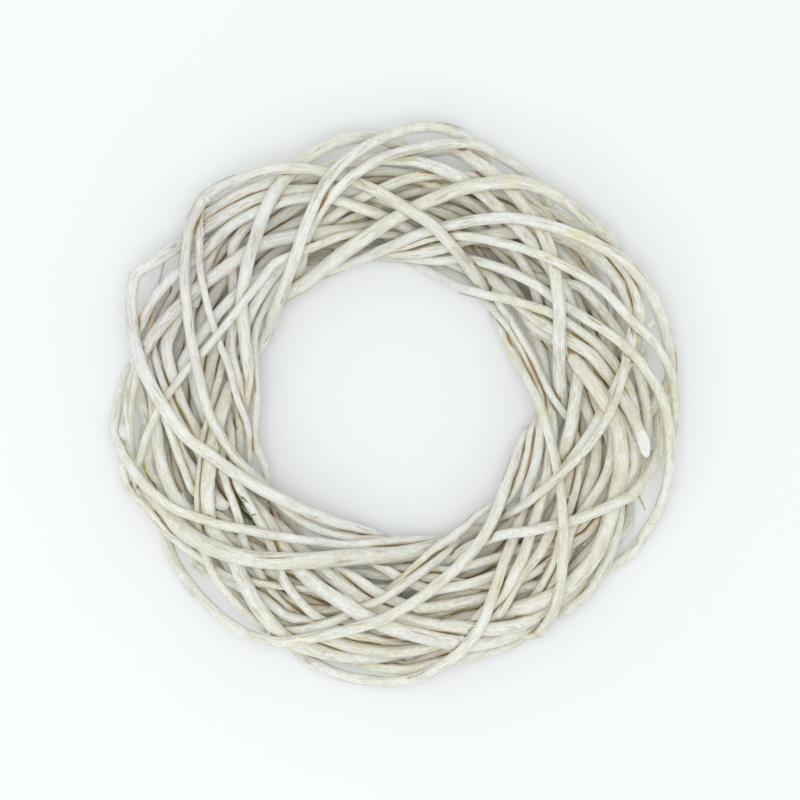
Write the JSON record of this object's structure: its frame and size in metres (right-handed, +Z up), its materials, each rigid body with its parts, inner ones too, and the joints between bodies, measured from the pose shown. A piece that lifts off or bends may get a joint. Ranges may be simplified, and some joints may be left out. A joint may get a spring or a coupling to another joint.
{
  "type": "willow wreath",
  "caption": "Flat round wreath of thin whitewashed willow rods wound over and under one another round an open middle.",
  "frame": {"origin": "centre of the outline at the underside, on the surface it lies on", "axes": "+Z up out of the surface; +X to the right and +Y to the top as seen from above"},
  "size_m": [0.3038, 0.2998, 0.0552],
  "materials": {
    "inward_willow": "matt, thin white wash",
    "outward_willow": "matt, thin white wash",
    "core_willow": "matt, little wash"
  },
  "bodies": {
    "root": {"inward_rod_01": "inward_willow", "inward_rod_02": "inward_willow", "inward_rod_03": "inward_willow", "inward_rod_04": "inward_willow", "inward_rod_05": "inward_willow", "inward_rod_06": "inward_willow", "inward_rod_07": "inward_willow", "inward_rod_08": "inward_willow", "inward_rod_09": "inward_willow", "inward_rod_10": "inward_willow", "inward_rod_11": "inward_willow", "inward_rod_12": "inward_willow", "inward_rod_13": "inward_willow", "inward_rod_14": "inward_willow", "inward_rod_15": "inward_willow", "inward_rod_16": "inward_willow", "inward_rod_17": "inward_willow", "inward_rod_18": "inward_willow", "inward_rod_19": "inward_willow", "inward_rod_20": "inward_willow", "inward_rod_21": "inward_willow", "inward_rod_22": "inward_willow", "inward_rod_23": "inward_willow", "inward_rod_24": "inward_willow", "inward_rod_25": "inward_willow", "inward_rod_26": "inward_willow", "inward_rod_27": "inward_willow", "outward_rod_01": "outward_willow", "outward_rod_02": "outward_willow", "outward_rod_03": "outward_willow", "outward_rod_04": "outward_willow", "outward_rod_05": "outward_willow", "outward_rod_06": "outward_willow", "outward_rod_07": "outward_willow", "outward_rod_08": "outward_willow", "outward_rod_09": "outward_willow", "outward_rod_10": "outward_willow", "outward_rod_11": "outward_willow", "outward_rod_12": "outward_willow", "outward_rod_13": "outward_willow", "outward_rod_14": "outward_willow", "outward_rod_15": "outward_willow", "outward_rod_16": "outward_willow", "core_rod_1": "core_willow", "core_rod_2": "core_willow", "core_rod_3": "core_willow", "core_rod_4": "core_willow", "core_rod_5": "core_willow"}
  },
  "joints": []
}
